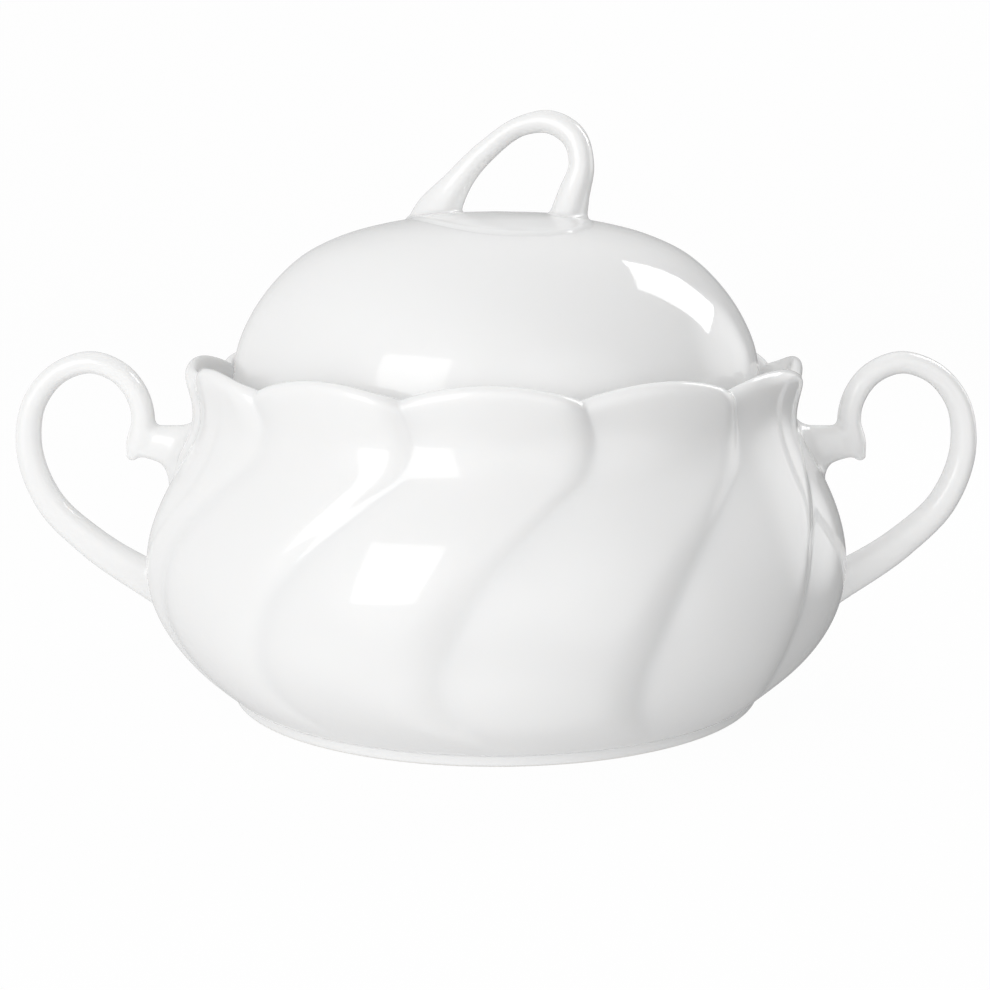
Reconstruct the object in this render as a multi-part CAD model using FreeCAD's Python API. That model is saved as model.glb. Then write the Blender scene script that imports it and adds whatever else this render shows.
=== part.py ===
import FreeCAD, Part
import math
import os

# Soup tureen in glazed porcelain: a round, S-fluted bowl with a scalloped rim and two
# ear-shaped loop handles, and a domed lid with a leaning loop knob that lifts straight off.
# Millimetres. +Z is up, +X runs from handle to handle, -Y is the front.
# The origin is on the bowl's axis at the level the foot ring stands on.

# ---- driving dimensions -------------------------------------------------------------

WALL = 4.5                  # wall of bowl and lid

PETALS = 12                 # scallops of the rim, and flutes below them
CUSP_DEG = 14.0             # first rim cusp, counted from the front (-Y) towards +X
PETAL_LIFT = 4.7            # scallop height above the cusps
CREST_SHARE = 0.70          # where a flute is fullest, from one groove (0) to the next (1)
RING_SAMPLES = 8            # control points on each petal

FOOT_HEIGHT = 4.5
FOOT_OUTER = 94.6
FOOT_INNER = 86.0
FOOT_EDGE = 1.2             # rounding of the foot's standing edges

SEAT_Z = 99.5               # ledge that the lid rests on, a little below the rim
SEAT_INNER = 90.6
SEAT_OUTER = 99.2
SEAT_GAP = 0.3              # glaze gap between ledge and lid

FLANGE_OUTER = 89.4         # locating flange below the lid's edge
FLANGE_INNER = 85.4
FLANGE_DROP = 8.5

KNOB_TURN_DEG = -20.0       # the knob's plane is turned, right foot towards the front
PAD_LONG = 52.0             # low swelling that the knob grows out of, an oval with full corners
PAD_SHORT = 29.0
PAD_TURN_DEG = -84.0
PAD_FULLNESS = 3.2          # 2 is a plain ellipse
PAD_POINTS = 24
PAD_RISE = 0.8

SECTION_POINTS = 12         # control points round the section of a strap
HANDLE_STATIONS = 44        # sections along each strap
STRUT_STATIONS = 10
KNOB_STATIONS = 40

# Outline of the bowl from the floor inside, up the wall, over the ledge and the rim and
# down the outside to the foot: radius, height, depth of the flutes, share of the rim's
# scallop. Each row is one ring of control points.
BOWL_INSIDE = [
    (24.0, 9.5, 0.0, 0.0),
    (60.0, 9.5, 0.0, 0.0),
    (86.0, 11.0, 0.0, 0.0),
    (101.0, 18.0, 0.6, 0.0),
    (112.0, 30.5, 1.2, 0.0),
    (118.0, 46.0, 1.4, 0.0),
    (116.8, 61.0, 1.4, 0.0),
    (110.8, 75.5, 1.2, 0.0),
    (102.5, 86.0, 0.5, 0.0),
    (94.0, 91.5, 0.0, 0.0),
    (SEAT_INNER, 94.0, 0.0, 0.0),
    (SEAT_INNER, 98.0, 0.0, 0.0),
    (SEAT_INNER + 0.6, SEAT_Z, 0.0, 0.0),
    (SEAT_INNER + 3.0, SEAT_Z, 0.0, 0.0),
    (SEAT_INNER + 5.8, SEAT_Z, 0.0, 0.0),
    (SEAT_OUTER, SEAT_Z, 0.0, 0.0),
    (99.9, 101.5, 0.0, 0.0),
    (100.2, 106.0, 1.0, 0.45),
]
BOWL_LIP = [
    (101.6, 111.0, 3.0, 0.95),
    (102.9, 113.6, 3.2, 1.0),
    (105.4, 113.8, 3.4, 1.0),
    (106.7, 111.6, 3.4, 0.95),
]
BOWL_OUTSIDE = [
    (105.2, 106.5, 2.9, 0.45),
    (104.0, 100.0, 2.6, 0.1),
    (105.4, 94.5, 2.6, 0.0),
    (109.0, 88.0, 2.7, 0.0),
    (115.4, 75.8, 2.8, 0.0),
    (120.9, 61.5, 2.8, 0.0),
    (122.8, 47.0, 2.7, 0.0),
    (119.6, 32.5, 2.4, 0.0),
    (112.0, 20.0, 2.0, 0.0),
    (104.0, 11.5, 1.2, 0.0),
    (97.6, 6.2, 0.3, 0.0),
    (95.4, FOOT_HEIGHT, 0.0, 0.0),
]

# Where a flute's groove runs, as degrees from the rim cusp above it, by height.
SWIRL = [(8.0, -15.0), (20.0, -20.6), (34.0, -21.8), (46.0, -20.0), (60.0, -16.4),
         (75.0, -9.6), (84.0, -4.4), (92.0, 0.6), (100.0, 2.2), (114.0, 0.0)]

# Outline of the dome outside, from the crown down to its edge: radius, height.
DOME = [(0.0, 168.2), (20.0, 167.5), (38.0, 165.0), (53.0, 160.9), (66.0, 154.6), (77.0, 144.8),
        (85.3, 133.2), (89.9, 122.5), (91.6, 111.5), (92.0, SEAT_Z + SEAT_GAP)]

# Centre lines in the plane of each loop: distance from the axis, height, thickness, width
# from front to back.
HANDLE_LOOP = [
    (109.0, 30.0, 16.5, 12.2), (123.0, 37.8, 13.6, 11.5), (144.5, 52.0, 11.2, 10.9),
    (159.5, 67.5, 9.8, 10.5), (165.8, 88.0, 8.7, 10.2), (163.0, 102.5, 8.0, 10.0),
    (153.5, 113.3, 7.6, 10.0), (142.0, 116.6, 7.8, 10.0), (131.5, 112.0, 7.8, 10.0),
    (125.4, 101.5, 7.8, 10.0), (125.4, 92.0, 7.6, 10.0), (129.4, 83.6, 3.4, 3.4),
]
HANDLE_STRUT = [
    (98.0, 81.0, 27.0, 17.0), (110.0, 85.0, 20.5, 13.0), (117.0, 87.4, 14.2, 10.5),
    (125.0, 88.6, 11.0, 8.0),
]
KNOB_LOOP = [
    (-23.0, 156.0, 20.0, 32.0), (-22.2, 167.5, 17.5, 22.0), (-15.0, 178.2, 9.4, 13.0),
    (-3.2, 189.9, 7.0, 10.0), (9.8, 197.8, 6.6, 9.5), (19.8, 198.7, 7.8, 9.5),
    (28.2, 193.6, 8.2, 9.5), (31.0, 184.5, 8.2, 10.5), (28.2, 174.2, 10.2, 15.0),
    (24.4, 160.0, 12.5, 28.0),
]


# ---- shape helpers --------------------------------------------------------------------

def swirl_at(height):
    """Turn of the flutes at a height, in degrees, easing from each stated height to the next."""
    if height <= SWIRL[0][0]:
        return SWIRL[0][1]
    for (z0, turn0), (z1, turn1) in zip(SWIRL, SWIRL[1:]):
        if height <= z1:
            return turn0 + (turn1 - turn0) * (height - z0) / (z1 - z0)
    return SWIRL[-1][1]


def flute_profile(share):
    """1 on a flute's crest and 0 in its groove: a long rise and a short fall."""
    if share < CREST_SHARE:
        return math.sin(0.5 * math.pi * share / CREST_SHARE)
    return math.cos(0.5 * math.pi * (share - CREST_SHARE) / (1.0 - CREST_SHARE))


def scallop(share):
    """Height of the rim over one petal, 0 at its cusps and 1 at its top."""
    return math.sin(math.pi * share) ** 0.8


def bowl_ring(radius, height, flute, lift):
    """One ring of control points, which follows the flutes round the bowl."""
    points = []
    mean_flute = 2.0 / math.pi
    start = CUSP_DEG + swirl_at(height)
    for step in range(PETALS * RING_SAMPLES):
        share = (step % RING_SAMPLES) / RING_SAMPLES
        angle = math.radians(start + 360.0 * step / (PETALS * RING_SAMPLES))
        r = radius + flute * (flute_profile(share) - mean_flute)
        z = height + lift * PETAL_LIFT * scallop(share)
        points.append(FreeCAD.Vector(r * math.sin(angle), -r * math.cos(angle), z))
    return points


def skinned_solid(rings):
    """Solid under a cubic skin over rings of control points, closed by two flat discs."""
    around = len(rings[0])
    along = len(rings)
    poles = [[ring[i] for ring in rings] for i in range(around)]
    surface = Part.BSplineSurface()
    surface.buildFromPolesMultsKnots(
        poles,
        [1] * (around + 1), [4] + [1] * (along - 4) + [4],
        [float(k) for k in range(around + 1)], [float(k) for k in range(along - 2)],
        True, False, 3, 3)
    side = surface.toShape()
    rims = [edge for edge in side.Edges if edge.isClosed()]
    discs = [Part.Face(Part.Wire([edge])) for edge in rims]
    skin = Part.makeCompound([side] + discs)
    skin.sewShape()
    solid = Part.Solid(skin.Shells[0])
    if solid.Volume < 0.0:
        solid.reverse()
    return solid


def strap(centre_line, stations):
    """Rounded strap along a centre line in the XZ plane: rows of x, z, thickness, width."""
    count = len(centre_line)
    marks = [float(i) for i in range(count)]
    path = Part.BSplineCurve()
    path.interpolate(Points=[FreeCAD.Vector(x, 0.0, z) for x, z, thick, wide in centre_line],
                     Parameters=marks)
    # Thickness and width along the line; the mark itself keeps equal sizes apart.
    sizes = Part.BSplineCurve()
    sizes.interpolate(Points=[FreeCAD.Vector(row[2], row[3], mark)
                              for row, mark in zip(centre_line, marks)],
                      Parameters=marks)
    # Control points stand this far outside the round section that they make.
    stand_off = 3.0 / (2.0 + math.cos(2.0 * math.pi / SECTION_POINTS))
    rings = []
    for step in range(stations):
        mark = (count - 1) * step / (stations - 1)
        centre = path.value(mark)
        along = path.tangent(mark)[0]
        size = sizes.value(mark)
        half_thick = FreeCAD.Vector(-along.z, 0.0, along.x) * (0.5 * size.x * stand_off)
        half_wide = FreeCAD.Vector(0.0, 0.5 * size.y * stand_off, 0.0)
        ring = []
        for turn in range(SECTION_POINTS):
            angle = 2.0 * math.pi * turn / SECTION_POINTS
            ring.append(centre + half_thick * math.cos(angle) + half_wide * math.sin(angle))
        rings.append(ring)
    return skinned_solid(rings)


def largest(shape):
    """The piece that is left standing when a cut leaves scraps behind."""
    return max(shape.Solids, key=lambda solid: solid.Volume)


# ---- the pieces -------------------------------------------------------------------------

def make_bowl():
    return skinned_solid([bowl_ring(*row) for row in BOWL_INSIDE + BOWL_LIP + BOWL_OUTSIDE])


def dome_curve(extra):
    """Half of the dome's outline, from its edge to its crown, moved outwards by extra."""
    points = []
    for (r0, z0), (r, z), (r1, z1) in zip(DOME[:1] + DOME, DOME, DOME[1:] + DOME[-1:]):
        slope = math.hypot(r1 - r0, z1 - z0)
        out_r = (z0 - z1) / slope
        out_z = (r1 - r0) / slope
        if r == 0.0:
            out_r, out_z = 0.0, 1.0
        if r == DOME[-1][0]:
            out_r, out_z = 1.0, 0.0
        points.append(FreeCAD.Vector(r + extra * out_r, 0.0, z + extra * out_z))
    curve = Part.BSplineCurve()
    curve.interpolate(Points=points[::-1], InitialTangent=FreeCAD.Vector(0, 0, 1),
                      FinalTangent=FreeCAD.Vector(-1, 0, 0))
    return curve.toShape()


def lathe(edges):
    face = Part.Face(Part.Wire(edges))
    return face.revolve(FreeCAD.Vector(), FreeCAD.Vector(0, 0, 1), 360.0)


def polyline(points):
    corners = [FreeCAD.Vector(r, 0.0, z) for r, z in points]
    return [Part.LineSegment(a, b).toShape() for a, b in zip(corners, corners[1:])]


def make_foot_ring():
    corners = [(FOOT_INNER, 0.0), (FOOT_OUTER, 0.0), (FOOT_OUTER, FOOT_HEIGHT),
               (FOOT_INNER, FOOT_HEIGHT), (FOOT_INNER, 0.0)]
    ring = lathe(polyline(corners))
    standing = [edge for edge in ring.Edges if edge.isClosed() and edge.CenterOfMass.z < FOOT_EDGE]
    return ring.makeFillet(FOOT_EDGE, standing)


def make_lid():
    base = SEAT_Z + SEAT_GAP
    radius, crown = DOME[-1][0], DOME[0][1]
    edge = [(radius, base), (FLANGE_OUTER, base), (FLANGE_OUTER, base - FLANGE_DROP),
            (FLANGE_INNER, base - FLANGE_DROP), (FLANGE_INNER, base), (radius - WALL, base)]
    axis = [(0.0, crown - WALL), (0.0, crown)]
    return lathe([dome_curve(0.0)] + polyline(edge) + [dome_curve(-WALL)] + polyline(axis))


def make_handle(side, bowl):
    """Loop and the strut that ties it to the neck, cut to lie on the bowl's wall."""
    handle = strap(HANDLE_LOOP, HANDLE_STATIONS).fuse(strap(HANDLE_STRUT, STRUT_STATIONS))
    if side < 0:
        handle = handle.mirror(FreeCAD.Vector(), FreeCAD.Vector(1, 0, 0))
    return largest(handle.cut(bowl))


def filled_dome(extra):
    """The dome as one solid down to the ledge, standing proud of the lid by extra."""
    base = SEAT_Z + SEAT_GAP
    corner = (DOME[-1][0] + extra, base)
    return lathe([dome_curve(extra)] + polyline([corner, (0.0, base), (0.0, DOME[0][1] + extra)]))


def make_pad():
    """The low swelling around the knob's feet."""
    points = []
    for step in range(PAD_POINTS):
        angle = 2.0 * math.pi * step / PAD_POINTS
        power = (abs(math.cos(angle) / PAD_LONG) ** PAD_FULLNESS
                 + abs(math.sin(angle) / PAD_SHORT) ** PAD_FULLNESS)
        reach = power ** (-1.0 / PAD_FULLNESS)
        points.append(FreeCAD.Vector(reach * math.cos(angle), reach * math.sin(angle), SEAT_Z))
    outline = Part.BSplineCurve()
    outline.interpolate(Points=points, PeriodicFlag=True)
    block = Part.Face(Part.Wire([outline.toShape()])).extrude(FreeCAD.Vector(0.0, 0.0, DOME[0][1]))
    block.rotate(FreeCAD.Vector(), FreeCAD.Vector(0, 0, 1), PAD_TURN_DEG)
    return block.common(filled_dome(PAD_RISE))


def make_knob():
    loop = strap(KNOB_LOOP, KNOB_STATIONS)
    loop.rotate(FreeCAD.Vector(), FreeCAD.Vector(0, 0, 1), KNOB_TURN_DEG)
    return largest(loop.fuse(make_pad()).cut(filled_dome(0.0)))


def build():
    bowl = make_bowl()
    return {
        "tureen_bowl": bowl,
        "foot_ring": make_foot_ring(),
        "left_handle": make_handle(-1, bowl),
        "right_handle": make_handle(1, bowl),
        "lid": make_lid(),
        "lid_knob": make_knob(),
    }


os.makedirs("parts", exist_ok=True)
for name, shape in build().items():
    shape.exportStep("parts/" + name + ".step")
    box = shape.BoundBox
    print(name, "solids", len(shape.Solids), "valid", shape.isValid(), "volume", round(shape.Volume),
          "box", [round(v, 1) for v in (box.XMin, box.YMin, box.ZMin, box.XMax, box.YMax, box.ZMax)])
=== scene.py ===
import math

import bpy
import numpy as np
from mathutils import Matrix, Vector


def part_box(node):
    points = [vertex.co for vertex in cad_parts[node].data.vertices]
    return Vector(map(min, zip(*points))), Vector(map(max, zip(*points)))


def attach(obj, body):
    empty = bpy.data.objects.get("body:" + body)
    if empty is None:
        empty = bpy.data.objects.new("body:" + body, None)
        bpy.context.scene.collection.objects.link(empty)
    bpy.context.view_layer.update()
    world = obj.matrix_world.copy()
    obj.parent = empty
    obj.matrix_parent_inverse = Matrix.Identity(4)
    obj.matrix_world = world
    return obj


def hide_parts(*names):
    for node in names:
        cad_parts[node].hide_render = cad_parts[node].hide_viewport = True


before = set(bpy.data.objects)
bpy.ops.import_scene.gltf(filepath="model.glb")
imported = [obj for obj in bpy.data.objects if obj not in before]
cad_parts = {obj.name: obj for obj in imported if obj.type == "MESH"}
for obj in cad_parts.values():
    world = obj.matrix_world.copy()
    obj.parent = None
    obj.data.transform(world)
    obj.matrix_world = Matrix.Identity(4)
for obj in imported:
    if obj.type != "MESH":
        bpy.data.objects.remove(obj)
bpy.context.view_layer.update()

# Soup tureen in white glazed porcelain. Shapes are worked out in millimetres in the row's
# frame and turned into metres when a mesh is made. -Y is the front, +X the right handle.
MM = 0.001

# ---- what the CAD model says -------------------------------------------------------------

FOOT_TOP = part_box("foot_ring")[1].z / MM
FOOT_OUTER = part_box("foot_ring")[1].x / MM
LID_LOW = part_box("lid")[0].z / MM
LID_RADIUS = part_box("lid")[1].x / MM

# ---- the bowl's form, close to the CAD model's --------------------------------------------

PETALS = 12
PETAL_DEG = 360.0 / PETALS
CUSP_DEG = 14.0
PETAL_LIFT = 4.9
CREST_BELLY, CREST_NECK = 0.74, 0.82    # where across a petal it stands highest
BELLY_TOP, NECK_LOW = 62.0, 90.0        # heights between which one turns into the other
SEAT_Z = 99.5                           # ledge that the lid rests on
SEAT_INNER = 90.6
SEAT_OUTER = 99.2
SEAT_GAP = 0.3                          # glaze gap between ledge and lid
WALL = 4.5
FOOT_WIDTH = 8.6
FLANGE_OUTER = 89.4                     # locating flange under the lid
FLANGE_INNER = 85.4
GROOVE_CROWDING = 0.09                  # mesh lines drawn together towards each groove
FULL_FLUTE = 2.8                        # depth of a flute on the belly

# Rings of control points, from the floor inside over the rim to the foot: radius, height,
# flute depth, share of the rim's scallop, softness of the groove.
BOWL_INSIDE = [
    (10.0, 9.5, 0.0, 0.0, 0.05), (60.0, 9.5, 0.0, 0.0, 0.05), (86.0, 11.0, 0.0, 0.0, 0.05),
    (101.0, 18.0, 0.6, 0.0, 0.08), (112.0, 30.5, 1.2, 0.0, 0.08), (118.0, 46.0, 1.4, 0.0, 0.08),
    (116.8, 61.0, 1.4, 0.0, 0.08), (110.8, 75.5, 1.2, 0.0, 0.08), (102.5, 86.0, 0.5, 0.0, 0.08),
    (94.0, 91.5, 0.0, 0.0, 0.05), (SEAT_INNER, 94.0, 0.0, 0.0, 0.05),
    (SEAT_INNER, 98.0, 0.0, 0.0, 0.05), (SEAT_INNER + 0.6, SEAT_Z, 0.0, 0.0, 0.05),
    (SEAT_INNER + 3.0, SEAT_Z, 0.0, 0.0, 0.05), (SEAT_INNER + 5.8, SEAT_Z, 0.0, 0.0, 0.05),
    (SEAT_OUTER, SEAT_Z, 0.0, 0.0, 0.05), (99.9, 101.5, 0.2, 0.0, 0.05),
    (100.2, 106.0, 1.2, 0.45, 0.03),
]
BOWL_LIP = [
    (101.5, 110.8, 3.0, 0.95, 0.015), (102.9, 114.0, 3.0, 1.0, 0.015),
    (105.3, 113.9, 3.2, 1.0, 0.015), (107.2, 111.4, 3.2, 0.95, 0.015),
]
BOWL_OUTSIDE = [
    (105.3, 106.5, 2.7, 0.45, 0.020), (104.4, 100.5, 1.9, 0.1, 0.050),
    (106.0, 94.0, 1.9, 0.0, 0.075), (109.2, 87.0, 2.2, 0.0, 0.085),
    (115.4, 75.8, 2.6, 0.0, 0.080), (120.9, 61.5, 2.8, 0.0, 0.080),
    (122.55, 47.0, 2.8, 0.0, 0.080), (119.6, 32.5, 2.6, 0.0, 0.080),
    (112.0, 20.0, 2.2, 0.0, 0.085), (104.0, 11.5, 1.4, 0.0, 0.09),
    (97.6, 6.2, 0.4, 0.0, 0.09), (95.4, FOOT_TOP, 0.0, 0.0, 0.09),
]
BOWL_UNDER = [(88.0, FOOT_TOP), (85.0, FOOT_TOP + 0.05), (81.5, FOOT_TOP + 0.2),
              (60.0, FOOT_TOP + 0.3), (30.0, FOOT_TOP + 0.3)]
# Height, and the turn of the flutes there in degrees.
SWIRL = [(8.0, -15.0), (20.0, -20.6), (34.0, -21.8), (46.0, -20.0), (60.0, -16.4),
         (75.0, -9.6), (84.0, -4.4), (92.0, 0.6), (100.0, 2.2), (114.0, 0.0)]
# Outside of the lid: radius, height.
DOME = [(0.0, 168.2), (20.0, 167.5), (38.0, 165.0), (53.0, 160.9), (66.0, 154.6), (77.0, 144.8),
        (85.3, 133.2), (89.9, 122.5), (91.6, 111.5), (92.0, 99.8)]


def clamped_spline(rows, per_span):
    """Points along the clamped uniform cubic spline that has these rows as control points."""
    rows = np.array(rows, float)
    spans = len(rows) - 3
    knots = np.concatenate([[0.0] * 3, np.arange(spans + 1.0), [spans] * 3])
    t = np.linspace(0.0, spans, spans * per_span + 1)
    t[-1] -= 1e-9
    basis = ((t[:, None] >= knots[:-1]) & (t[:, None] < knots[1:])).astype(float)
    for degree in (1, 2, 3):
        count = basis.shape[1] - 1
        lower = knots[:count]
        upper = knots[degree + 1:degree + 1 + count]
        rise = knots[degree:degree + count] - lower
        fall = upper - knots[1:1 + count]
        up = np.where(rise > 0, (t[:, None] - lower) / np.where(rise > 0, rise, 1.0), 0.0)
        down = np.where(fall > 0, (upper - t[:, None]) / np.where(fall > 0, fall, 1.0), 0.0)
        basis = up * basis[:, :-1] + down * basis[:, 1:]
    return basis @ rows


def smooth_through(points, count):
    """Catmull-Rom line through points (rows of any width), by chord length, count samples."""
    p = np.array(points, float)
    s = np.concatenate([[0.0], np.cumsum(np.linalg.norm(np.diff(p[:, :2], axis=0), axis=1))])
    slope = np.gradient(p, s, axis=0)
    t = np.linspace(0.0, s[-1], count)
    k = np.clip(np.searchsorted(s, t, side="right") - 1, 0, len(s) - 2)
    h = (s[k + 1] - s[k])[:, None]
    u = ((t - s[k])[:, None]) / h
    return ((2 * u ** 3 - 3 * u ** 2 + 1) * p[k] + (u ** 3 - 2 * u ** 2 + u) * h * slope[k]
            + (3 * u ** 2 - 2 * u ** 3) * p[k + 1] + (u ** 3 - u ** 2) * h * slope[k + 1])


SWIRL_LINE = smooth_through(SWIRL, 400)


def swirl_at(z):
    """Turn of the flutes at height z, in degrees."""
    return np.interp(z, SWIRL_LINE[:, 0], SWIRL_LINE[:, 1])


def crest_at(z):
    """Where across a petal a flute stands highest at height z."""
    return np.interp(z, [BELLY_TOP, NECK_LOW], [CREST_BELLY, CREST_NECK])


def raw_profile(share, crest):
    """1 on a flute's crest, 0 in its groove: a long easy rise and a short, steepening fall."""
    share = share % 1.0
    rise = np.sin(0.5 * np.pi * np.minimum(share / crest, 1.0))
    fall = 1.0 - np.clip((share - crest) / (1.0 - crest), 0.0, 1.0) ** 2.0
    return rise * fall


def flute_profile(share, soft, z):
    """The same at height z, with its groove rounded over +-soft of a petal."""
    total = 0.0
    crest = crest_at(z)
    for offset in np.linspace(-0.9, 0.9, 10):
        weight = 0.2 * math.cos(0.5 * math.pi * offset) ** 2
        total = total + weight * raw_profile(share + offset * soft, crest)
    return total


MEAN_FLUTE = float(np.mean(raw_profile(np.linspace(0.0, 1.0, 1000, endpoint=False), CREST_BELLY)))


def scallop(share):
    """Height of the rim over one petal: 0 at the cusps, 1 on top."""
    total = 0.0
    for offset in (-0.012, 0.0, 0.012):
        total = total + np.sin(np.pi * ((share + offset) % 1.0)) ** 0.85 / 3.0
    return total


OUTLINE = clamped_spline(BOWL_INSIDE + BOWL_LIP + BOWL_OUTSIDE, 8)
OUTER_WALL = OUTLINE[np.argmax(OUTLINE[:, 1]):][::-1]     # from the foot up to the rim


def bowl_field(x, y, z):
    """Signed distance, near enough, from the outside of the bowl's fluted wall."""
    radius = np.interp(z, OUTER_WALL[:, 1], OUTER_WALL[:, 0])
    flute = np.interp(z, OUTER_WALL[:, 1], OUTER_WALL[:, 2])
    soft = np.interp(z, OUTER_WALL[:, 1], OUTER_WALL[:, 4])
    slope = (np.interp(z + 0.5, OUTER_WALL[:, 1], OUTER_WALL[:, 0])
             - np.interp(z - 0.5, OUTER_WALL[:, 1], OUTER_WALL[:, 0]))
    share = (np.degrees(np.arctan2(x, -y)) - CUSP_DEG - swirl_at(z)) / PETAL_DEG
    wall = radius + flute * (flute_profile(share, soft, z) - MEAN_FLUTE)
    return (np.hypot(x, y) - wall) / np.sqrt(1.0 + slope ** 2)


# ---- mesh helpers ------------------------------------------------------------------------

def outward(points, faces):
    """The same closed skin with its faces turned to look out of the piece."""
    # Each face counts as two triangles; a triangle's second one has no volume.
    corners = points[np.array([face[:3] for face in faces])]
    volume = np.einsum("ij,ij->", corners[:, 0], np.cross(corners[:, 1], corners[:, 2]))
    corners = points[np.array([(face[0], face[2], face[-1]) for face in faces])]
    volume += np.einsum("ij,ij->", corners[:, 0], np.cross(corners[:, 1], corners[:, 2]))
    return faces if volume > 0 else [face[::-1] for face in faces]


def make_piece(name, points, faces, body, replaced=None, marks=None, normals=None):
    """A smooth-shaded mesh piece from points in millimetres."""
    points = np.asarray(points, float)
    faces = outward(points, faces)
    mesh = bpy.data.meshes.new(name)
    mesh.from_pydata((points * MM).tolist(), [], faces)
    mesh.update()
    for mark, values in (marks or {}).items():
        attribute = mesh.attributes.new(mark, "FLOAT", "POINT")
        attribute.data.foreach_set("value", np.asarray(values, np.float32))
    for polygon in mesh.polygons:
        polygon.use_smooth = True
    if normals is not None:
        mesh.normals_split_custom_set_from_vertices(normals.tolist())
    piece = bpy.data.objects.new(name, mesh)
    bpy.context.scene.collection.objects.link(piece)
    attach(piece, body)
    if replaced:
        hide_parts(replaced)
    return piece


def grid_faces(rows, columns, wrap_rows=False):
    """Quads over rows of points that each close on themselves."""
    faces = []
    for r in range(rows if wrap_rows else rows - 1):
        below = (r + 1) % rows
        for c in range(columns):
            d = (c + 1) % columns
            faces.append((r * columns + c, r * columns + d, below * columns + d, below * columns + c))
    return faces


def lathe(profile, columns):
    """Rings about Z through an open profile (radius, height), in order."""
    angle = np.linspace(0.0, 2.0 * np.pi, columns, endpoint=False)
    profile = np.array(profile, float)
    x = profile[:, :1] * np.sin(angle)
    y = -profile[:, :1] * np.cos(angle)
    z = np.repeat(profile[:, 1:2], columns, axis=1)
    return np.stack([x, y, z], axis=-1).reshape(-1, 3)


def surface_net(field, low, high, step):
    """Closed quad mesh of field = 0 inside a box, its points drawn onto the surface."""
    axes = [np.arange(a, b + step, step) for a, b in zip(low, high)]
    values = field(axes[0][:, None, None], axes[1][None, :, None], axes[2][None, None, :])
    size = np.array(values.shape)
    inside = values < 0.0
    cells = size - 1
    total = np.zeros((*cells, 3))
    count = np.zeros(cells, int)
    corner = np.stack(np.meshgrid(*axes, indexing="ij"), axis=-1)
    crossings = []
    for axis in range(3):
        a = [slice(None)] * 3
        b = [slice(None)] * 3
        a[axis], b[axis] = slice(0, -1), slice(1, None)
        a, b = tuple(a), tuple(b)
        cross = inside[a] != inside[b]
        gap = np.where(cross, values[a] - values[b], 1.0)
        share = np.where(cross, values[a] / gap, 0.0)[..., None]
        point = corner[a] * (1.0 - share) + corner[b] * share
        crossings.append((cross, inside[a]))
        others = [k for k in range(3) if k != axis]
        for i in (0, 1):
            for j in (0, 1):
                pick = [slice(None)] * 3
                pick[others[0]] = slice(i, i + cells[others[0]])
                pick[others[1]] = slice(j, j + cells[others[1]])
                pick = tuple(pick)
                total += point[pick] * cross[pick][..., None]
                count += cross[pick]
    used = count > 0
    index = np.full(cells, -1)
    index[used] = np.arange(used.sum())
    points = total[used] / count[used][:, None]
    faces = []
    for axis in range(3):
        cross, first_in = crossings[axis]
        u, v = [k for k in range(3) if k != axis]
        where = np.argwhere(cross)
        where = where[(where[:, u] > 0) & (where[:, v] > 0)
                      & (where[:, u] < cells[u]) & (where[:, v] < cells[v])]
        ring = []
        for du, dv in ((1, 1), (0, 1), (0, 0), (1, 0)):
            cell = where.copy()
            cell[:, u] -= du
            cell[:, v] -= dv
            ring.append(index[cell[:, 0], cell[:, 1], cell[:, 2]])
        quads = np.stack(ring, axis=1)
        keep = first_in[where[:, 0], where[:, 1], where[:, 2]]
        if axis == 1:
            keep = ~keep
        quads[~keep] = quads[~keep][:, ::-1]
        faces += quads.tolist()
    for _ in range(3):
        here = field(*points.T)
        h = 0.05
        grad = np.stack([field(*(points + h * np.eye(3)[k]).T) - here for k in range(3)], axis=1) / h
        length = np.maximum((grad ** 2).sum(axis=1), 0.05)
        move = -(here / length)[:, None] * grad
        reach = np.linalg.norm(move, axis=1, keepdims=True)
        points = points + move * np.minimum(1.0, 0.4 * step / np.maximum(reach, 1e-9))
    h = 0.12
    look = np.stack([field(*(points + h * np.eye(3)[k]).T) - field(*(points - h * np.eye(3)[k]).T)
                     for k in range(3)], axis=1)
    look /= np.maximum(np.linalg.norm(look, axis=1, keepdims=True), 1e-9)
    return points, faces, look


def blend_min(a, b, k):
    """Union of two fields with a fillet about k wide."""
    h = np.clip(0.5 + 0.5 * (b - a) / k, 0.0, 1.0)
    return b + (a - b) * h - k * h * (1.0 - h)


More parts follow.
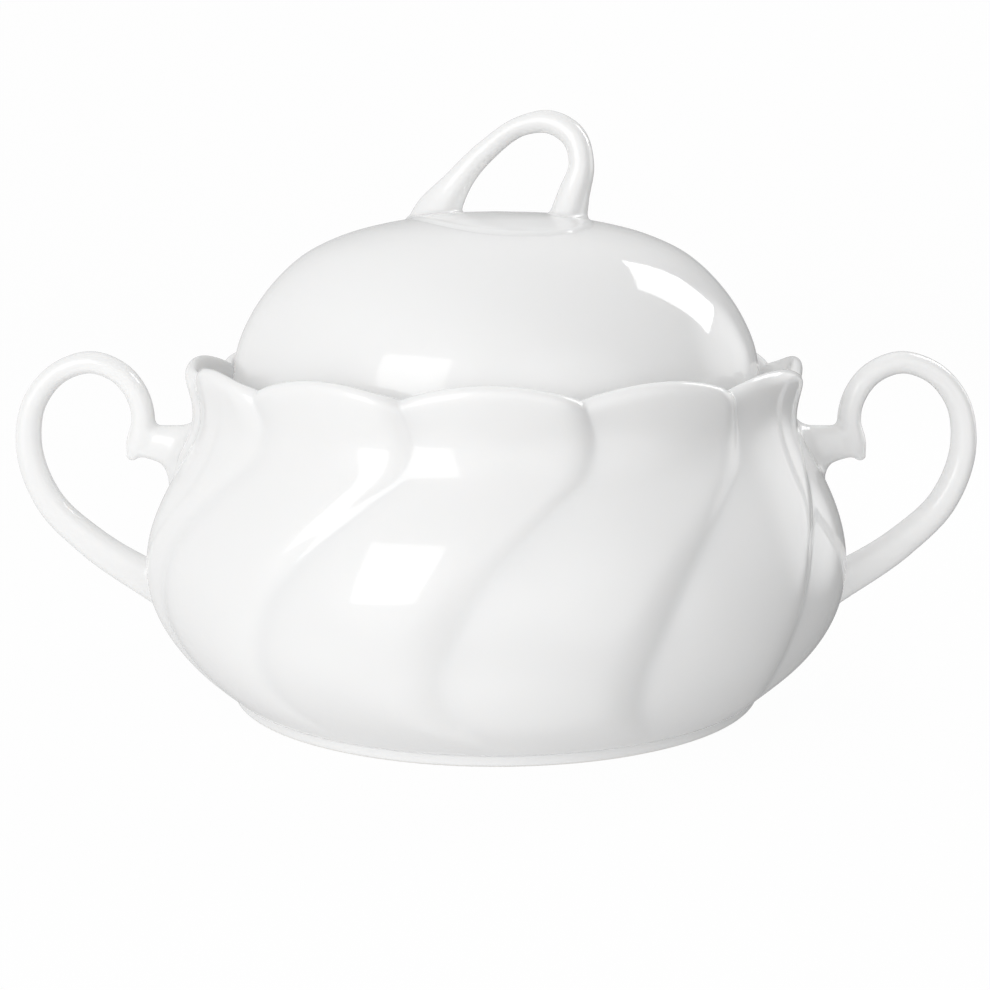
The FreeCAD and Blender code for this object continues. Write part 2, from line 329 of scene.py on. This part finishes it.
def strap_field(line, squareness, x, y, z):
    """Signed distance from a strap along line (rows of x, z, thickness, width) in the XZ plane."""
    x, z = np.broadcast_arrays(x, z)
    flat_x, flat_z = x.ravel(), z.ravel()
    slope = np.gradient(line, axis=0)
    slope /= np.linalg.norm(slope[:, :2], axis=1, keepdims=True)
    nearest = np.empty(flat_x.size, int)
    for start in range(0, flat_x.size, 20000):
        part = slice(start, start + 20000)
        gap = (flat_x[part, None] - line[:, 0]) ** 2 + (flat_z[part, None] - line[:, 1]) ** 2
        nearest[part] = gap.argmin(axis=1)
    nearest = nearest.reshape(x.shape)
    dx = x - line[nearest, 0]
    dz = z - line[nearest, 1]
    along = dx * slope[nearest, 0] + dz * slope[nearest, 1]
    across = -dx * slope[nearest, 1] + dz * slope[nearest, 0]
    last = len(line) - 1
    past = ((nearest == 0) & (along < 0)) | ((nearest == last) & (along > 0))
    beyond = np.where(past, along, 0.0)
    within = np.where(past, 0.0, along)
    half_thick = 0.5 * (line[nearest, 2] + within * slope[nearest, 2])
    half_wide = 0.5 * (line[nearest, 3] + within * slope[nearest, 3])
    q = np.sqrt(across ** 2 + y ** 2 + beyond ** 2) + 1e-9
    s = (np.abs(across / half_thick) ** squareness + np.abs(y / half_wide) ** squareness
         + np.abs(beyond / half_thick) ** squareness) ** (1.0 / squareness) + 1e-9
    return q - q / s


# ---- the pieces --------------------------------------------------------------------------

def make_bowl():
    columns = 36
    u = np.arange(columns) / columns
    petal = u - GROOVE_CROWDING * np.sin(2.0 * np.pi * u)
    share = np.tile(petal, PETALS)
    turn = np.repeat(np.arange(PETALS), columns) + share
    under = np.array([(r, z, 0.0, 0.0, 0.05) for r, z in BOWL_UNDER])
    rows = np.concatenate([OUTLINE, under])
    points = []
    pool = []
    for radius, height, flute, lift, soft in rows:
        profile = flute_profile(share, soft, height)
        angle = np.radians(CUSP_DEG + swirl_at(height) + turn * PETAL_DEG)
        r = radius + flute * (profile - MEAN_FLUTE)
        z = height + lift * PETAL_LIFT * scallop(share)
        points.append(np.stack([r * np.sin(angle), -r * np.cos(angle), z], axis=-1))
        pool.append(np.clip(1.0 - profile / 0.5, 0.0, 1.0) ** 2 * min(flute / FULL_FLUTE, 1.0))
    ring = PETALS * columns
    faces = grid_faces(len(rows), ring)
    first, last = 0, (len(rows) - 1) * ring
    floor_point, under_point = len(rows) * ring, len(rows) * ring + 1
    for c in range(ring):
        d = (c + 1) % ring
        faces.append((first + d, first + c, floor_point))
        faces.append((last + c, last + d, under_point))
    points = np.concatenate(points + [[(0.0, 0.0, rows[0][1]), (0.0, 0.0, rows[-1][1])]])
    pool = np.concatenate(pool + [[0.0, 0.0]])
    return make_piece("bowl_glazed", points, faces, "tureen", "tureen_bowl",
                      {"pool": pool, "bare": np.zeros(len(points))})


def make_foot():
    inner = FOOT_OUTER - FOOT_WIDTH
    outside = smooth_through([(FOOT_OUTER - 0.9, FOOT_TOP + 0.9), (FOOT_OUTER - 0.05, FOOT_TOP - 0.2),
                              (FOOT_OUTER - 0.35, 2.8), (FOOT_OUTER - 0.8, 1.3),
                              (FOOT_OUTER - 1.5, 0.35), (FOOT_OUTER - 2.7, 0.0)], 18)
    inside = smooth_through([(inner + 3.2, 0.0), (inner + 1.7, 0.3), (inner + 0.8, 1.2),
                             (inner + 0.2, 2.8), (inner, FOOT_TOP + 0.6)], 14)
    profile = np.concatenate([outside, inside])
    columns = 288
    points = lathe(profile, columns)
    faces = grid_faces(len(profile), columns, wrap_rows=True)
    bare = np.clip((0.9 - points[:, 2]) / 0.5, 0.0, 1.0)
    return make_piece("foot_ring_turned", points, faces, "tureen", "foot_ring",
                      {"pool": np.zeros(len(points)), "bare": bare})


def make_lid():
    outer = smooth_through(DOME[:-1] + [(LID_RADIUS, LID_LOW + 11.0)], 120)
    seat = SEAT_Z + SEAT_GAP
    edge = [(LID_RADIUS, seat + 2.0), (LID_RADIUS - 0.15, seat + 0.8), (LID_RADIUS - 0.7, seat + 0.15),
            (LID_RADIUS - 1.4, seat), (FLANGE_OUTER + 1.0, seat), (FLANGE_OUTER + 0.4, seat - 0.15),
            (FLANGE_OUTER, seat - 0.7), (FLANGE_OUTER, LID_LOW + 1.0), (FLANGE_OUTER - 0.3, LID_LOW + 0.3),
            (FLANGE_OUTER - 0.9, LID_LOW), (FLANGE_INNER + 0.9, LID_LOW),
            (FLANGE_INNER + 0.3, LID_LOW + 0.3), (FLANGE_INNER, LID_LOW + 1.0),
            (FLANGE_INNER, seat - 0.6), (FLANGE_INNER + 0.4, seat + 1.2), (FLANGE_INNER + 1.3, seat + 3.2)]
    t = np.gradient(outer, axis=0)
    t /= np.linalg.norm(t, axis=1, keepdims=True)
    inner = outer + WALL * np.stack([t[:, 1], -t[:, 0]], axis=-1)
    inner = inner[(inner[:, 0] > 0.4) & (inner[:, 1] > seat + 5.0)][::-1]
    profile = np.concatenate([outer[1:], edge, inner])
    columns = 288
    points = lathe(profile, columns)
    rows = len(profile)
    faces = grid_faces(rows, columns)
    top, bottom = len(points), len(points) + 1
    last = (rows - 1) * columns
    for c in range(columns):
        d = (c + 1) % columns
        faces.append((d, c, top))
        faces.append((last + c, last + d, bottom))
    points = np.concatenate([points, [(0.0, 0.0, outer[0][1]), (0.0, 0.0, inner[-1][1])]])
    r = np.hypot(points[:, 0], points[:, 1])
    on_seat = (np.abs(points[:, 2] - seat) < 0.05) & (r > FLANGE_OUTER - 0.4)
    on_flange = points[:, 2] < LID_LOW + 0.1
    bare = (on_seat | on_flange).astype(float)
    return make_piece("lid_dome", points, faces, "lid", "lid",
                      {"pool": np.zeros(len(points)), "bare": bare})


# Centre lines in the plane of each loop: distance from the axis, height, thickness, width
# from front to back.
HANDLE_LOOP = [
    (109.0, 30.0, 16.5, 12.2), (123.0, 37.8, 13.6, 11.5), (144.5, 52.0, 11.2, 10.9),
    (159.5, 67.5, 9.8, 10.5), (165.7, 88.0, 8.7, 10.2), (163.0, 102.5, 8.0, 10.0),
    (153.5, 113.3, 7.6, 10.0), (142.0, 116.6, 7.8, 10.0), (131.5, 112.0, 7.8, 10.0),
    (125.4, 101.5, 7.8, 10.0), (125.4, 92.0, 7.6, 9.6), (129.4, 83.6, 3.4, 3.4),
]
HANDLE_STRUT = [
    (98.0, 81.0, 27.0, 17.0), (110.0, 85.0, 20.5, 13.0), (117.0, 87.4, 14.2, 10.5),
    (125.0, 88.6, 11.0, 8.0),
]
KNOB_LOOP = [
    (-24.0, 156.0, 21.0, 30.0), (-22.1, 167.2, 16.0, 22.0), (-15.0, 178.0, 9.6, 13.0),
    (-3.2, 189.9, 7.0, 10.0), (9.8, 197.8, 6.6, 9.5), (19.8, 198.65, 7.8, 9.5),
    (28.1, 193.5, 8.2, 9.5), (30.7, 184.5, 8.2, 10.5), (28.0, 174.2, 10.2, 15.0),
    (24.4, 160.0, 12.5, 28.0),
]
HANDLE_SQUARENESS, KNOB_SQUARENESS = 2.2, 2.3     # 2 is an ellipse, more is squarer
KNOB_TURN_DEG = -20.0                             # the knob's plane, right foot to the front
PAD_RISE = 0.75                                   # low swelling around the knob's feet
PAD_LONG, PAD_SHORT, PAD_FULLNESS, PAD_TURN_DEG = 52.0, 30.0, 2.3, -78.0
HIDDEN = 0.05                                     # a luted skirt's edge lies this far below
NET_STEP = 0.62                                   # spacing of the mesh
STRUT_FILLET, WALL_FILLET = 3.0, 5.5              # fillets of a handle
FOOT_FILLET, PAD_FILLET = 1.6, 1.2                # fillets of the knob


def make_handle(side, name, node):
    loop = smooth_through(HANDLE_LOOP, 420)
    strut = smooth_through(HANDLE_STRUT, 80)

    def field(x, y, z):
        strap = blend_min(strap_field(loop, HANDLE_SQUARENESS, x, y, z),
                          strap_field(strut, HANDLE_SQUARENESS, x, y, z), STRUT_FILLET)
        wall = bowl_field(side * x, y, z)
        luted = blend_min(strap, wall + HIDDEN, WALL_FILLET)
        return np.maximum(np.maximum(luted, strap - 6.0), -(wall + 2.0))

    points, faces, look = surface_net(field, (98.0, -17.0, 12.0), (172.0, 17.0, 122.5), NET_STEP)
    mirror = np.array([side, 1.0, 1.0])
    return make_piece(name, points * mirror, faces, "tureen", node,
                      {"pool": np.zeros(len(points)), "bare": np.zeros(len(points))}, look * mirror)


def make_knob():
    loop = smooth_through(KNOB_LOOP, 320)
    dome = smooth_through(DOME, 400)
    turn = math.radians(PAD_TURN_DEG - KNOB_TURN_DEG)

    def field(x, y, z):
        r = np.hypot(x, y)
        slope = np.interp(r + 0.5, dome[:, 0], dome[:, 1]) - np.interp(r - 0.5, dome[:, 0], dome[:, 1])
        cover = (z - np.interp(r, dome[:, 0], dome[:, 1])) / np.sqrt(1.0 + slope ** 2)
        a = x * math.cos(turn) + y * math.sin(turn)
        b = -x * math.sin(turn) + y * math.cos(turn)
        rho = (np.abs(a / PAD_LONG) ** PAD_FULLNESS + np.abs(b / PAD_SHORT) ** PAD_FULLNESS)
        rho = np.maximum(rho, 1e-6) ** (1.0 / PAD_FULLNESS)
        outline = (1.0 - 1.0 / rho) * r
        pad = -blend_min(-(cover - PAD_RISE), -outline, FOOT_FILLET)
        pad = blend_min(pad, cover + HIDDEN, PAD_FILLET)
        strap = strap_field(loop, KNOB_SQUARENESS, x, y, z)
        knob = blend_min(strap, pad, FOOT_FILLET)
        return np.maximum(np.maximum(knob, np.minimum(outline - 3.0, strap - 8.0)), -(cover + 1.5))

    points, faces, look = surface_net(field, (-44.0, -58.0, 154.0), (44.0, 58.0, 204.0), NET_STEP)
    c, s = math.cos(math.radians(KNOB_TURN_DEG)), math.sin(math.radians(KNOB_TURN_DEG))
    turned = np.array([[c, s, 0.0], [-s, c, 0.0], [0.0, 0.0, 1.0]])
    return make_piece("knob_loop", points @ turned, faces, "lid", "lid_knob",
                      {"pool": np.zeros(len(points)), "bare": np.zeros(len(points))}, look @ turned)


pieces = [
    make_bowl(),
    make_foot(),
    make_handle(-1, "handle_left", "left_handle"),
    make_handle(1, "handle_right", "right_handle"),
    make_lid(),
    make_knob(),
]


# ---- materials ---------------------------------------------------------------------------

def node_helper(tree):
    """A function that adds a node to tree, with its inputs linked or set."""
    def node(kind, inputs=None, **settings):
        made = tree.nodes.new(kind)
        for key, value in settings.items():
            setattr(made, key, value)
        for key, value in (inputs or {}).items():
            if isinstance(value, bpy.types.NodeSocket):
                tree.links.new(value, made.inputs[key])
            else:
                made.inputs[key].default_value = value
        return made
    return node


GLAZE_LOW, GLAZE_HIGH = (0.872, 0.872, 0.869, 1.0), (0.892, 0.892, 0.890, 1.0)
GLAZE_POOLED = (0.846, 0.849, 0.850, 1.0)
BISCUIT_LOW, BISCUIT_HIGH = (0.70, 0.68, 0.635, 1.0), (0.80, 0.785, 0.745, 1.0)


def porcelain(name):
    """White glaze over porcelain, which gives way to bare biscuit where the mesh says bare."""
    material = bpy.data.materials.new(name)
    material.use_nodes = True
    tree = material.node_tree
    tree.nodes.clear()
    node = node_helper(tree)
    place = node("ShaderNodeTexCoord").outputs["Object"]
    pool = node("ShaderNodeAttribute", attribute_name="pool").outputs["Fac"]
    bare = node("ShaderNodeAttribute", attribute_name="bare").outputs["Fac"]

    def mix(factor, a, b, kind="RGBA"):
        made = node("ShaderNodeMix", data_type=kind)
        socket_type = {"RGBA": "RGBA", "FLOAT": "VALUE"}[kind]
        sockets = [s for s in made.inputs if s.type == socket_type and s.name in ("A", "B")]
        for socket, value in zip([made.inputs["Factor"]] + sockets, (factor, a, b)):
            if isinstance(value, bpy.types.NodeSocket):
                tree.links.new(value, socket)
            else:
                socket.default_value = value
        return [s for s in made.outputs if s.type == socket_type][0]

    cloud = node("ShaderNodeTexNoise", {"Vector": place, "Scale": 14.0, "Detail": 3.0}).outputs["Fac"]
    grain = node("ShaderNodeTexNoise", {"Vector": place, "Scale": 900.0, "Detail": 2.0}).outputs["Fac"]
    white = mix(cloud, GLAZE_LOW, GLAZE_HIGH)
    pooled = mix(pool, white, GLAZE_POOLED)
    biscuit = mix(grain, BISCUIT_LOW, BISCUIT_HIGH)
    color = mix(bare, pooled, biscuit)
    gloss = mix(cloud, 0.045, 0.085, "FLOAT")
    rough = mix(bare, gloss, 0.62, "FLOAT")
    ripple = node("ShaderNodeTexNoise", {"Vector": place, "Scale": 30.0, "Detail": 1.0}).outputs["Fac"]
    peel = node("ShaderNodeTexNoise", {"Vector": place, "Scale": 420.0, "Detail": 1.0}).outputs["Fac"]
    waves = node("ShaderNodeBump", {"Height": ripple, "Strength": 0.35, "Distance": 0.0006})
    fine = node("ShaderNodeBump", {"Height": peel, "Strength": 0.12, "Distance": 0.00003,
                                   "Normal": waves.outputs["Normal"]})
    tooth = node("ShaderNodeBump", {"Height": grain, "Strength": bare, "Distance": 0.00008,
                                    "Normal": fine.outputs["Normal"]})
    shader = node("ShaderNodeBsdfPrincipled", {
        "Base Color": color, "Roughness": rough, "Normal": tooth.outputs["Normal"],
        "IOR": 1.52, "Subsurface Weight": 0.25, "Subsurface Scale": 0.004,
        "Subsurface Radius": (1.0, 0.95, 0.9)})
    out = node("ShaderNodeOutputMaterial")
    tree.links.new(shader.outputs["BSDF"], out.inputs["Surface"])
    return material


glaze = porcelain("glazed_porcelain")
foot_finish = porcelain("unglazed_foot")
for piece in pieces:
    piece.data.materials.append(foot_finish if piece.name == "foot_ring_turned" else glaze)


# ---- studio --------------------------------------------------------------------------------

def staged_mesh(name, points, faces):
    mesh = bpy.data.meshes.new(name)
    mesh.from_pydata([tuple(p) for p in points], [], faces)
    for polygon in mesh.polygons:
        polygon.use_smooth = True
    obj = bpy.data.objects.new(name, mesh)
    bpy.context.scene.collection.objects.link(obj)
    return obj


def make_sweep():
    """Floor that curves up into a wall all round. Only the camera sees it."""
    profile = [(r, 0.0) for r in (0.0, 0.5, 1.0, 2.0, 3.0)]
    profile += [(3.0 + 1.5 * math.sin(a), 1.5 - 1.5 * math.cos(a)) for a in np.linspace(0.2, 1.57, 8)]
    profile += [(4.5, 3.0), (4.5, 6.0)]
    columns = 64
    points = lathe(profile, columns)
    faces = [face[::-1] for face in grid_faces(len(profile), columns)]
    return staged_mesh("studio_sweep", points, faces)


sweep = make_sweep()
paper = bpy.data.materials.new("studio_paper")
paper.use_nodes = True
paper.node_tree.nodes.clear()
node = node_helper(paper.node_tree)
lit = node("ShaderNodeBsdfDiffuse", {"Color": (0.9, 0.9, 0.9, 1.0)})
glow = node("ShaderNodeEmission", {"Color": (1.0, 1.0, 1.0, 1.0), "Strength": 1.0})
both = node("ShaderNodeMixShader", {"Fac": 0.96, 1: lit.outputs[0], 2: glow.outputs[0]})
# From below the floor is clear, so that it doesn't hide the foot.
behind = node("ShaderNodeNewGeometry").outputs["Backfacing"]
clear = node("ShaderNodeBsdfTransparent")
one_sided = node("ShaderNodeMixShader", {"Fac": behind, 1: both.outputs[0], 2: clear.outputs[0]})
node("ShaderNodeOutputMaterial", {"Surface": one_sided.outputs[0]})
sweep.data.materials.append(paper)
sweep.visible_diffuse = False
sweep.visible_glossy = False
sweep.visible_transmission = False
sweep.visible_shadow = False

world = bpy.data.worlds.new("studio")
bpy.context.scene.world = world
world.use_nodes = True
world.node_tree.nodes.clear()
node = node_helper(world.node_tree)
heading = node("ShaderNodeTexCoord").outputs["Generated"]


def lobe(azimuth, elevation, edge, strength):
    """Glow of the room around a direction, which fades out to nothing where the cosine is edge."""
    a, e = math.radians(azimuth), math.radians(elevation)
    aim = (math.sin(a) * math.cos(e), -math.cos(a) * math.cos(e), math.sin(e))
    cosine = node("ShaderNodeVectorMath", {0: heading, 1: aim}, operation="DOT_PRODUCT")
    ramp = node("ShaderNodeMapRange", {"Value": cosine.outputs["Value"], "From Min": edge,
                                       "From Max": 1.0, "To Min": 0.0, "To Max": strength},
                interpolation_type="SMOOTHSTEP")
    return ramp.outputs["Result"]


# azimuth from the front towards the right handle, elevation, edge, strength
LOBES = [
    (0.0, 5.0, 0.20, 0.44), (60.0, 20.0, 0.20, 0.14), (-90.0, 5.0, 0.20, 0.21),
    (180.0, 15.0, 0.20, 0.32), (-135.0, 45.0, 0.20, 0.41), (-120.0, -40.0, 0.20, 0.43),
    (0.0, 90.0, 0.20, 0.31), (0.0, -90.0, 0.20, 0.34), (-30.0, 10.0, 0.78, 0.69),
    (30.0, 10.0, 0.78, 0.72), (0.0, 30.0, 0.78, 0.24), (-45.0, 25.0, 0.78, 0.26),
    (-45.0, -45.0, 0.78, 0.30), (0.0, -75.0, 0.78, 0.69), (122.0, 10.0, 0.90, 1.5),
]
total = node("ShaderNodeValue").outputs[0]
total.default_value = 0.0
for values in LOBES:
    total = node("ShaderNodeMath", {0: total, 1: lobe(*values)}, operation="ADD").outputs[0]
background = node("ShaderNodeBackground", {"Color": (1.0, 1.0, 1.0, 1.0), "Strength": total})
node("ShaderNodeOutputWorld", {"Surface": background.outputs[0]})


def softbox(name, azimuth, elevation, distance, width, height, radiance, aim=(0.0, 0.0, 0.08)):
    """Rectangular light that faces the tureen, placed by heading and distance in metres."""
    a, e = math.radians(azimuth), math.radians(elevation)
    where = Vector(aim) + distance * Vector((math.sin(a) * math.cos(e), -math.cos(a) * math.cos(e),
                                             math.sin(e)))
    light = bpy.data.lights.new(name, "AREA")
    light.shape = "RECTANGLE"
    light.size = width
    light.size_y = height
    light.energy = radiance * width * height * math.pi
    obj = bpy.data.objects.new(name, light)
    bpy.context.scene.collection.objects.link(obj)
    obj.location = where
    obj.rotation_euler = (Vector(aim) - where).to_track_quat("-Z", "Y").to_euler()
    obj.visible_camera = False
    return obj


softbox("softbox_left", -34.0, 18.5, 0.72, 0.345, 0.39, 1.9)
softbox("softbox_right", 122.0, 38.0, 1.0, 0.34, 0.50, 4.0)

# ---- camera ------------------------------------------------------------------------------

camera = bpy.data.objects.new("camera", bpy.data.cameras.new("camera"))
bpy.context.scene.collection.objects.link(camera)
camera.data.sensor_width = 36.0        # with this lens the tureen fills the frame's width
camera.data.lens = 59.05
camera.data.clip_start = 0.01
camera.location = (-0.0004, -0.571, 0.1652)
aim = Vector((-0.0004, 0.0, 0.0693))
camera.rotation_euler = (aim - camera.location).to_track_quat("-Z", "Y").to_euler()
bpy.context.scene.camera = camera
bpy.context.scene.view_settings.view_transform = "Standard"
